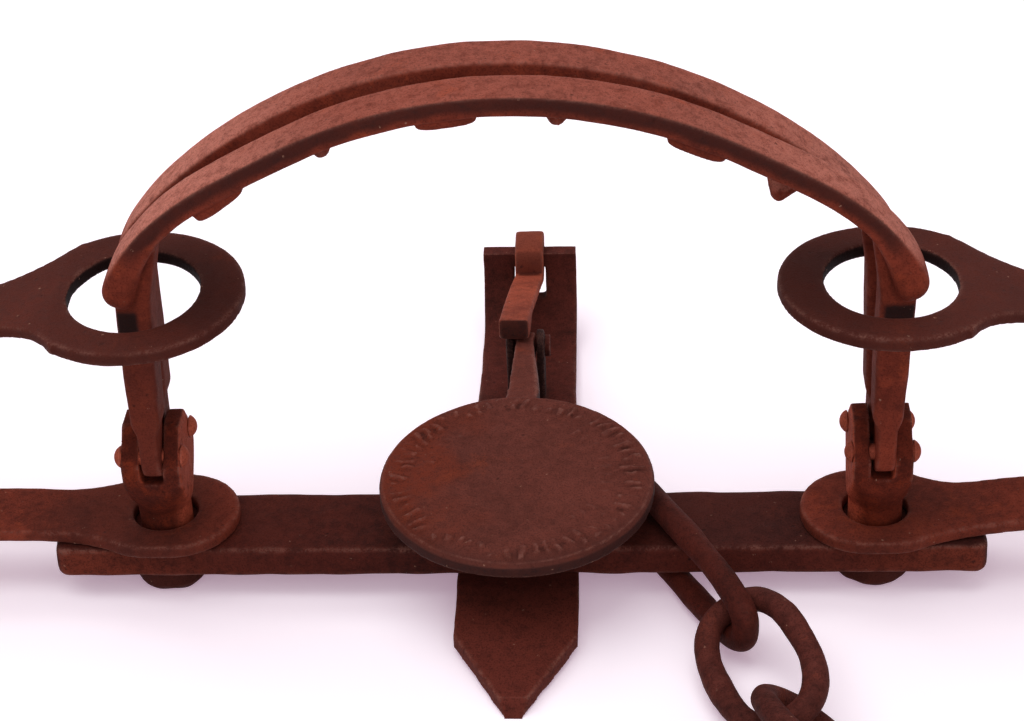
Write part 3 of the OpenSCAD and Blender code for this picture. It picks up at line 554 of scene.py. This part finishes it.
for node, (turn, bent, swell, seed) in JAWS.items():
    shells = []
    for points, faces in [arch(swell), leg(-1), leg(1)] + [tooth(place, swell) for place in TOOTH_X]:
        share = BENT_LEGS + (1 - BENT_LEGS) * soft_step(points[:, 2], BENT_FROM, crown_z - BENT_DROP)
        shells.append((points * (turn, turn, 1) + (bent * share)[:, None] * (1, 0, 0), faces))
    skin = forge(node + "_skin", shells, voxel=0.45, uneven=0.06, seed=seed,
                 dark_and_shade=flat_faces if node == "front_jaw" else dark_leg, pale=top_face)
    settle(skin, node, "jaw_rust", jaw_rust, node)
for node in ("left_front_pin", "left_rear_pin", "right_front_pin", "right_rear_pin"):
    skin = forge(node + "_skin", [solid(node)], voxel=0.25, uneven=0.05, seed=53)
    settle(skin, "frame", "post_rust", pin_rust, node)

# Springs
# Each spring is one strip of spring steel bent double at the bow. Its lower end is an eye on the post, its
# upper end a ring round both jaws. It bends at the bow as the ring is pressed down.
STRIP_T, STRIP_CRISP, STRIP_STATIONS, STRIP_EASE = 3.5, 9, 420, 9
BOW_R, BOW_W, NECK_W, HOLLOW_MOST = 15.0, 22.0, 17.5, 0.97
RING_HOLE_R, RING_HOLE_MORE, RING_SHOULDER, RING_LAP = 14.5, 1.2, 15.6, 0.2
RING_NECK, RING_HOLLOW_R, RING_STATIONS, RING_BITE = 36.0, 25.0, 180, 0.3
CREASE_OUT, ARM_SLOPE = 18.0, np.radians(14)
EYE_HOLE_R, EYE_SIDE, EYE_R, EYE_NECK, EYE_HOLLOW_R, EYE_BITE = 7.5, 2.75, 14.5, 25.0, 31.9, 1.5
# Darker eyes, the left one darker still with painted shade
LEFT_EYE_DARK, RIGHT_EYE_DARK, EYE_DARK_X = 0.6, 0.35, (60, 80, 100, 120)
# A darker ring, and painted black shade on the wall of its hole
RING_DARK, RING_DARK_Z, WALL_SHADE = 0.9, (50, 70), 0.9
WALL_R, WALL_FACING = (RING_HOLE_R + 1.4, RING_HOLE_R + 2.8), (0.3, 0.7)
ARM_SET_H, ARM_SET_FROM, ARM_SET_FULL, ARM_SET_FADE = 3, 15, 38, 70
# Each spring: its side, the tilt of its ring, how far its ring and its lower arm are raised, its seed
SPRINGS = {"left": (-1, 0.04, -0.9, 0.5, 61), "right": (1, -0.012, -0.2, 2.2, 67)}
spring_rust = rusted("spring_rust", tone(80, 33, 25), tone(130, 54, 38), tone(150, 62, 36), bloom_from=0.52,
                     seed=1.1)
ring_r = corners("right_spring_upper")[1][1]
ring_x = corners("right_spring_upper")[0][0] + ring_r
ring_z = corners("right_spring_upper")[1][2] - STRIP_T / 2
bow_x = corners("right_spring_lower")[1][0] - BOW_R
eye_z = corners("right_spring_lower")[0][2] + STRIP_T / 2
bow_z, bow_mid_r = eye_z - STRIP_T / 2 + BOW_R, BOW_R - STRIP_T / 2


def hollow(run, radius):
    """Height of a circular hollow above its lowest point, at a distance from it."""
    run = np.clip(run, 0, HOLLOW_MOST * radius)
    return radius - np.sqrt(radius ** 2 - run ** 2)


def flat_ring(middle, hole, more, outer, z):
    """A flat strip round a hole: a bar section carried round, from the hole's edge to the outer edge. The
    hole is wider by more across the strip than along it."""
    turn = np.linspace(0, 2 * np.pi, RING_STATIONS, endpoint=False)
    rim = outer(turn)
    hole = hole + more * np.sin(turn) ** 2
    out, up = bar_loop((rim - hole) / 2, np.full(RING_STATIONS, STRIP_T / 2), STRIP_CRISP)
    out = out + ((rim + hole) / 2)[:, None]
    return loft(middle + out * np.cos(turn)[:, None], out * np.sin(turn)[:, None], z + up, True)


def ring_rim(turn):
    """Distance to the rim of the ring: a circle, cut straight where its shoulders run into the strip."""
    return np.minimum(ring_r, (RING_SHOULDER + RING_LAP) / np.maximum(np.cos(turn), 0.1))


def eye_rim(turn):
    """Distance to the rim of the eye: two round ends a little apart, joined by straight sides."""
    cos, sin = np.abs(np.cos(turn)), np.abs(np.sin(turn))
    end = EYE_SIDE * cos + np.sqrt(EYE_R ** 2 - (EYE_SIDE * sin) ** 2)
    return np.where(EYE_R * cos < EYE_SIDE * sin, EYE_R / np.maximum(sin, 0.1), end)


def strip():
    """The strip's section carried along its middle line: crease, sloping arm, bow and level arm, evenly
    spaced and eased. It widens to the bow, and along circular hollows into the ring and the eye."""
    round_bow = np.linspace(np.pi / 2 - ARM_SLOPE, -np.pi / 2, 60)
    line = np.concatenate([
        [(ring_x + RING_HOLE_R + RING_BITE, ring_z), (ring_x + CREASE_OUT, ring_z)],
        np.stack([bow_x + bow_mid_r * np.cos(round_bow), bow_z + bow_mid_r * np.sin(round_bow)], -1),
        [(POST_X + EYE_HOLE_R + EYE_BITE, eye_z)]])
    gone = np.concatenate([[0], np.cumsum(np.linalg.norm(np.diff(line, axis=0), axis=1))])
    even = np.linspace(0, gone[-1], STRIP_STATIONS)
    x, z = (np.interp(even, gone, line[:, k]) for k in (0, 1))
    ease, inside = np.ones(STRIP_EASE) / STRIP_EASE, slice(STRIP_EASE // 2, -(STRIP_EASE // 2))
    x[inside], z[inside] = np.convolve(x, ease, "valid"), np.convolve(z, ease, "valid")
    slant = np.arctan2(np.gradient(z), np.gradient(x))[:, None]
    on_top = np.arange(STRIP_STATIONS) < np.argmax(x)
    taper = (BOW_W - NECK_W) / 2 * np.clip((x - POST_X - RING_NECK) / (bow_x - POST_X - RING_NECK), 0, 1)
    to_ring = hollow(ring_x + RING_NECK - x, RING_HOLLOW_R)
    to_eye = hollow(POST_X + EYE_NECK - x, EYE_HOLLOW_R)
    half = NECK_W / 2 + taper + np.where(on_top, to_ring, to_eye)
    across, through = bar_loop(half, np.full(STRIP_STATIONS, STRIP_T / 2), STRIP_CRISP)
    return loft(x[:, None] - through * np.sin(slant), across, z[:, None] + through * np.cos(slant))


def dark_ring(points, normals):
    """The ring and the arm below it are darker than the lower half, and so are the eyes; the left eye is
    darker still with painted shade. The wall of the ring's hole is painted black shade."""
    out = np.abs(points[:, 0])
    eye = np.where(points[:, 0] < 0, LEFT_EYE_DARK, RIGHT_EYE_DARK) * soft_band(out, *EYE_DARK_X)
    reach = np.hypot(out - ring_x, points[:, 1])
    wall = (1 - soft_step(reach, *WALL_R)) * (1 - soft_step(np.abs(normals[:, 2]), *WALL_FACING))
    return np.maximum(eye, (RING_DARK + WALL_SHADE * wall) * soft_step(points[:, 2], *RING_DARK_Z))


spring_shells = [flat_ring(ring_x, RING_HOLE_R, RING_HOLE_MORE, ring_rim, ring_z), strip(),
                 flat_ring(POST_X, EYE_HOLE_R, 0, eye_rim, eye_z)]
for side, (out, tilt, ring_lift, arm_lift, seed) in SPRINGS.items():
    lower, upper = side + "_spring_lower", side + "_spring_upper"
    # Set of this spring: its ring tilted and raised, its lower arm raised between the eye and the bow
    shells = []
    for points, faces in spring_shells:
        x, y, z = points.T
        above = soft_step(z, bow_z, ring_z)
        arm = ((1 - soft_step(z, eye_z + ARM_SET_H, bow_z))
               * soft_step(x, POST_X + ARM_SET_FROM, POST_X + ARM_SET_FULL)
               * (1 - soft_step(x, bow_x - ARM_SET_FADE, bow_x)))
        raised = z + above * (ring_lift + tilt * y) + arm_lift * arm
        shells.append((np.stack([out * x, y, raised], -1), faces))
    skin = forge(side + "_spring_skin", shells, voxel=0.55, rounds=4, uneven=0.05, seed=seed, dark_and_shade=dark_ring)
    skin.data.materials.append(spring_rust)
    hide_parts(lower, upper)
    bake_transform(skin)

# Pan and its pin
# A cast iron disc with its shank, hinged between the strap's ears on a headed pin. Its face has a worn ring
# of short raised bars inside a thin lip, for grip.
PAN_BARS, PAN_BAR_H, PAN_BAR_WANDER, PAN_EDGE_WANDER = 58, 0.6, 0.022, 0.02
OUTER_ROW, INNER_ROW = (0.77, 0.80, 0.91, 0.94), (0.60, 0.63, 0.69, 0.72)
INNER_BARS, INNER_BAR_H, INNER_OUT, INNER_BACK = 0.75 * PAN_BARS, 0.6, (9, 14), (-22, -14)
PAN_LIP, PAN_LIP_H, PAN_DENT_H = (0.955, 0.975), 0.2, 0.12
SHANK_SHIFT, SHANK_FROM, SHANK_FULL, SHANK_FADE = 0.8, -1, 4, (36, 61)
FRESH, FRESH_OUT, FRESH_WANDER, FRESH_LUMP = 0.8, (8, 24), 4, 12
# Painted shade on the sides of the disc and of the shank
RIM_SHADE, RIM_FACING = 1.1, (0.25, 0.75)
MARGIN_DARK, MARGIN, MARGIN_FRONT = 0.5, (0.84, 0.97), (0, 22)
pan_rust = rusted("pan_rust", tone(84, 41, 34), tone(110, 55, 46), tone(128, 56, 36), bloom_from=0.56,
                  seed=1.7, pale_and_lit_tone=tone(116, 46, 29))
pan_r = corners("pan")[1][0]


def worn_face(points, normals):
    """Radial bars as raised cosines of the turn, kept between two circles and worn down in places; part of a
    second row inside them; and a low lip along the rim. The shank is set a little to the right."""
    reach = np.hypot(points[:, 0], points[:, 1]) / pan_r
    turn = np.arctan2(points[:, 1], points[:, 0])
    on_top = soft_step(normals[:, 2], 0.7, 0.95)
    wobble = turn + PAN_BAR_WANDER * lumps(points, 8, 71)
    outer = soft_band(reach + PAN_EDGE_WANDER * lumps(points, 5, 75), *OUTER_ROW)
    inner = soft_band(reach, *INNER_ROW) * soft_step(np.abs(points[:, 0]), *INNER_OUT)
    inner = inner * soft_step(points[:, 1] + points[:, 0], *INNER_BACK)
    kept = soft_step(lumps(points, 6, 73), -1.5, 0.2) * (1 - 0.7 * soft_step(lumps(points, 4, 74), 0.4, 0.9))
    bars = soft_step(np.cos(PAN_BARS * wobble), -0.1, 0.5) * outer
    bars = bars + INNER_BAR_H * soft_step(np.cos(INNER_BARS * wobble), 0.0, 0.6) * inner
    lip = soft_step(reach, *PAN_LIP)
    dents = soft_step(lumps(points, 4, 79), 0.3, 1.2)
    shank = soft_band(points[:, 1], pan_r + SHANK_FROM, pan_r + SHANK_FULL, *SHANK_FADE)
    face = PAN_BAR_H * bars * kept + PAN_LIP_H * lip - PAN_DENT_H * dents
    return SHANK_SHIFT * shank * normals[:, 0] + on_top * face


def fresh_rust(points, normals):
    """Fresh orange rust on the left third of the disc, in drifts."""
    left = -points[:, 0] + FRESH_WANDER * lumps(points, FRESH_LUMP, 81)
    return FRESH * soft_step(left, *FRESH_OUT) * soft_step(normals[:, 2], *FACING)


def dark_rim(points, normals):
    """Painted shade: the sides of the disc and of the shank are black. The front margin of the face is dark.
    """
    reach = np.hypot(points[:, 0], points[:, 1]) / pan_r
    margin = soft_step(reach, *MARGIN) * soft_step(-points[:, 1], *MARGIN_FRONT)
    return np.maximum(RIM_SHADE * (1 - soft_step(normals[:, 2], *RIM_FACING)), MARGIN_DARK * margin)


pan_skin = forge("pan_skin", [solid("pan")], voxel=0.4, uneven=0.06, seed=77,
                 shape=worn_face, dark_and_shade=dark_rim, pale=fresh_rust)
settle(pan_skin, "pan", "pan_rust", pan_rust, "pan")
pan_pin_skin = forge("pan_pin_skin", [solid("pan_pin")], voxel=0.25, uneven=0.05, seed=83)
settle(pan_pin_skin, "frame", "dark_rust", bar_rust, "pan_pin")

# Dog
# A narrow strip bent in a loop round the bar of the upright. Its arm reaches over the ears to a thick blunt
# tip, which holds a jaw down when the trap is set.
DOG_T, DOG_TIP_H, DOG_TIP_FROM, DOG_TIP_FULL = 3.0, 6.0, 0.74, 0.97
DOG_RISE, DOG_CURVE, DOG_BEND, DOG_CRISP = 12.6, 0.25, np.radians(3.4), 8
DOG_HEEL, DOG_NOSE, DOG_NOSE_W, DOG_NOSE_CLOSE = -0.06, 0.6, 0.7, 0.95
LOOP_HALF, LOOP_CRISP, LOOP_STATIONS = 6.2, 3.4, 120
LOOP_DARK, LOOP_DARK_RUN = 0.55, 2
LOOP_FRONT_DARK, TIP_DARK, TIP_FACING = 0.75, 1.1, (0.55, 0.9)
dog_rust = rusted("dog_rust", tone(112, 50, 38), tone(160, 76, 56), tone(172, 80, 50), bloom_from=0.52,
                  seed=1.9)
dog_low, dog_high = corners("dog")
dog_half_w = dog_high[0]
loop_y, loop_z = dog_high[1] - LOOP_HALF, dog_low[2] + LOOP_HALF


def dog_arm():
    """Sections along the arm from the loop to the tip: its top rises in a flat curve, it leans a little to
    the left, and it grows thick at the tip, where the sections close in a blunt nose."""
    past = np.concatenate([np.zeros(80), np.linspace(0, DOG_NOSE_CLOSE, 6)[1:]])
    share = np.pad(np.linspace(DOG_HEEL, 1, 80), (0, 5), "edge")
    close = np.sqrt(1 - past ** 2)
    heel_y = loop_y - LOOP_HALF + DOG_T
    reach = heel_y - dog_low[1] - DOG_NOSE
    rise = DOG_RISE * np.clip(share, 0, 1) * (1 + DOG_CURVE - DOG_CURVE * share)
    thick = DOG_T + (DOG_TIP_H - DOG_T) * soft_step(share, DOG_TIP_FROM, DOG_TIP_FULL)
    across, up = bar_loop(dog_half_w * (DOG_NOSE_W + (1 - DOG_NOSE_W) * close), close * thick / 2, DOG_CRISP)
    x = across - (reach * np.clip(share, 0, 1) * np.tan(DOG_BEND))[:, None]
    y = heel_y - reach * share - DOG_NOSE * past
    return loft(x, y[:, None], up + (dog_low[2] + DOG_T + rise - thick / 2)[:, None])


def dog_loop():
    """The strip's section carried round a rounded square about the bar."""
    side = LOOP_HALF - DOG_T / 2
    y, z = bar_loop(side, side, LOOP_CRISP, LOOP_STATIONS)
    facing = np.arctan2(-np.gradient(y), np.gradient(z))[:, None]
    through, across = bar_loop(
        np.full(LOOP_STATIONS, DOG_T / 2), np.full(LOOP_STATIONS, dog_half_w), DOG_CRISP)
    return loft(across, loop_y + y[:, None] + through * np.cos(facing),
                loop_z + z[:, None] + through * np.sin(facing), True)


def dark_ends(points, normals):
    """The faces of the tip and of the loop that look to the front are black, and the rest of the loop is
    dark.
    """
    loop_from = loop_y - LOOP_HALF
    loop = LOOP_DARK * soft_step(points[:, 1], loop_from, loop_from + LOOP_DARK_RUN)
    front = np.where(loop > 0, LOOP_FRONT_DARK, TIP_DARK) * soft_step(-normals[:, 1], *TIP_FACING)
    return np.maximum(loop, front)


dog_skin = forge("dog_skin", [dog_arm(), dog_loop()], voxel=0.35, uneven=0.05, seed=89, dark_and_shade=dark_ends)
settle(dog_skin, "dog", "post_rust", dog_rust, "dog")

# Chain
# A long link round the bar, then welded oval links of round wire, each hooked through the last. The wire is
# rubbed thin where links bear on each other and a little thick at its weld.
LONG_WIRE, LONG_OVAL, LINK_WIRE, LINK_OVAL, LINKS = 6.0, 3.2, 5.7, 2.5, 8
WELD, WELD_RUN, RUB, RUB_POWER = 0.05, 0.13, 0.02, 8
WIRE_STATIONS, WIRE_SIDES = 160, 36
chain_rust = rusted("chain_rust", tone(50, 21, 18), tone(94, 44, 37), tone(122, 53, 34), bloom_from=0.54,
                    seed=2.3)


def wire_loop(node, wire, squareness, seed):
    """Round wire carried round an oval |a|^p + |b|^p = 1 that lies in the solid's own plane: its length and
    breadth are the two long principal axes of the solid's points."""
    points = solid(node)[0]
    axes = np.linalg.svd(points - points.mean(0), full_matrices=False)[2]
    spread = points @ axes.T
    middle = (spread.max(0) + spread.min(0)) / 2 @ axes
    half = (np.ptp(spread, axis=0)[:2] - wire) / 2
    a, b = bar_loop(half[0], half[1], squareness, WIRE_STATIONS)
    turn = np.linspace(0, 2 * np.pi, WIRE_STATIONS, endpoint=False)
    weld = np.random.default_rng(seed).choice([0.5, 1.5]) * np.pi
    thicker, thinner = WELD * np.exp(-((turn - weld) / WELD_RUN) ** 2), RUB * np.cos(turn) ** RUB_POWER
    radius = wire / 2 * (1 + thicker - thinner)
    facing = np.arctan2(-np.gradient(a), np.gradient(b))
    out, up = bar_loop(radius, radius, 2, WIRE_SIDES)
    a = a[:, None] + out * np.cos(facing)[:, None]
    b = b[:, None] + out * np.sin(facing)[:, None]
    shell = middle + a[..., None] * axes[0] + b[..., None] * axes[1] + up[..., None] * axes[2]
    return loft(*np.moveaxis(shell, -1, 0), True)


long_shell = wire_loop("long_link", LONG_WIRE, LONG_OVAL, 100)
long_skin = forge("long_link_skin", [long_shell], rounds=2, uneven=0.11, seed=110)
settle(long_skin, "long_link", "chain_rust", bar_rust, "long_link")
for count in range(1, LINKS + 1):
    node = "chain_link_%d" % count
    shell = wire_loop(node, LINK_WIRE, LINK_OVAL, 100 + count)
    skin = forge(node + "_skin", [shell], rounds=2, uneven=0.11, seed=110 + count)
    settle(skin, node, "chain_rust", chain_rust, node)

# Swivel and end ring
# A stirrup on the last link whose boss carries a headed pin with an eye, so that the chain can't twist, and
# a plain ring of round wire for the stake.
RING_WIRE, RING_ROUND = 5.5, 2
for node in ("swivel_body", "swivel_pin"):
    skin = forge(node + "_skin", [solid(node)], voxel=0.45, uneven=0.09, seed=127)
    settle(skin, node, "chain_rust", chain_rust, node)
end_shell = wire_loop("end_ring", RING_WIRE, RING_ROUND, 131)
end_skin = forge("end_ring_skin", [end_shell], rounds=2, uneven=0.1, seed=133)
settle(end_skin, "end_ring", "chain_rust", chain_rust, "end_ring")

# Floor
# A white table top that takes soft lilac shadows. It is paler to the camera and in reflections than in the
# light that it throws back at the trap.
TABLE = 6.0
PAPER, PAPER_SHOWN, PAPER_GLOW = (0.72, 0.70, 0.71, 1.0), (0.98, 0.99, 1.0, 1.0), (0.30, 0.19, 0.26, 1.0)
floor_mesh = bpy.data.meshes.new("floor")
floor_mesh.from_pydata([(-TABLE, -TABLE, 0), (TABLE, -TABLE, 0), (TABLE, TABLE, 0), (-TABLE, TABLE, 0)],
                       [], [(0, 1, 2, 3)])
floor = bpy.data.objects.new("floor", floor_mesh)
bpy.context.scene.collection.objects.link(floor)
paper = bpy.data.materials.new("paper")
paper.use_nodes = True
paper_tree = paper.node_tree
paper_tree.nodes.remove(paper_tree.nodes["Principled BSDF"])


def shown(start):
    """1 for what the camera, a reflection or a clear piece shows, and 0 for what only lights the object."""
    straight, glossy, through = (start.node("ShaderNodeLightPath", {}, {}, kind) for kind in (
        "Is Camera Ray", "Is Glossy Ray", "Is Transmission Ray"))
    return start.math("MINIMUM", straight + glossy + through, 1.0)


paper_start = Rust(paper_tree)
matte = paper_start.node("ShaderNodeBsdfDiffuse", {}, {"Color": PAPER})
catch = paper_start.node("ShaderNodeBsdfDiffuse", {}, {"Color": PAPER_SHOWN})
glow = paper_start.node("ShaderNodeEmission", {}, {"Color": PAPER_GLOW, "Strength": 1.0})
pale = paper_start.node("ShaderNodeAddShader", {}, {0: catch, 1: glow})
both = paper_start.node("ShaderNodeMixShader", {}, {0: shown(paper_start), 1: matte, 2: pale})
paper_tree.links.new(both.socket, paper_tree.nodes["Material Output"].inputs["Surface"])
floor_mesh.materials.append(paper)

# Light
# One broad soft light from above and a little from the left, a weaker one from the front and the right, and
# an even pale room, which is white to the camera.
ROOM, ROOM_TINT = 0.26, (1.0, 0.985, 0.995, 1.0)
world = bpy.data.worlds.new("room")
bpy.context.scene.world = world
world.use_nodes = True
room = Rust(world.node_tree)
backdrop = room.node("ShaderNodeBackground", {}, {
    "Color": ROOM_TINT, "Strength": ROOM + (1 - ROOM) * shown(room)})
world.node_tree.links.new(backdrop.socket, world.node_tree.nodes["World Output"].inputs["Surface"])


def soft_light(name, come_from, spread, power):
    """Even light from a broad round patch of the sky, spread degrees wide."""
    light = bpy.data.lights.new(name, "SUN")
    light.angle = np.radians(spread)
    light.energy = power
    holder = bpy.data.objects.new(name, light)
    bpy.context.scene.collection.objects.link(holder)
    holder.rotation_mode = "QUATERNION"
    holder.rotation_quaternion = (-Vector(come_from)).to_track_quat("-Z", "Y")


soft_light("overhead", come_from=(-0.28, 0.08, 1.0), spread=62, power=1.7)
soft_light("front", come_from=(0.35, -1.0, 0.85), spread=80, power=1.05)

# Camera
# The photograph's own view, from in front and above. The focal length is in pixels of a picture PHOTO_W wide,
# the camera's place in millimetres and its turn in degrees.
FOCAL, PHOTO_W, SENSOR, NEAR = 2286.0, 1024.0, 36.0, 0.01
CAMERA_AT, CAMERA_TURN = (23.1, -424.9, 338.6), (-3.12, 33.28, -2.24)
yaw, pitch, roll = np.radians(CAMERA_TURN)
ahead = np.array([np.sin(yaw) * np.cos(pitch), np.cos(yaw) * np.cos(pitch), -np.sin(pitch)])
level = np.array([np.cos(yaw), -np.sin(yaw), 0.0])
over = np.cross(level, ahead)
right = level * np.cos(roll) + over * np.sin(roll)
up = over * np.cos(roll) - level * np.sin(roll)
lens = bpy.data.cameras.new("camera")
lens.sensor_width = SENSOR
lens.lens = FOCAL / PHOTO_W * SENSOR
lens.clip_start = NEAR
camera = bpy.data.objects.new("camera", lens)
bpy.context.scene.collection.objects.link(camera)
view = np.column_stack([right, up, -ahead, np.array(CAMERA_AT) * MM])
camera.matrix_world = Matrix(np.vstack([view, [0, 0, 0, 1]]).tolist())
bpy.context.scene.camera = camera
bpy.context.scene.view_settings.view_transform = "Standard"
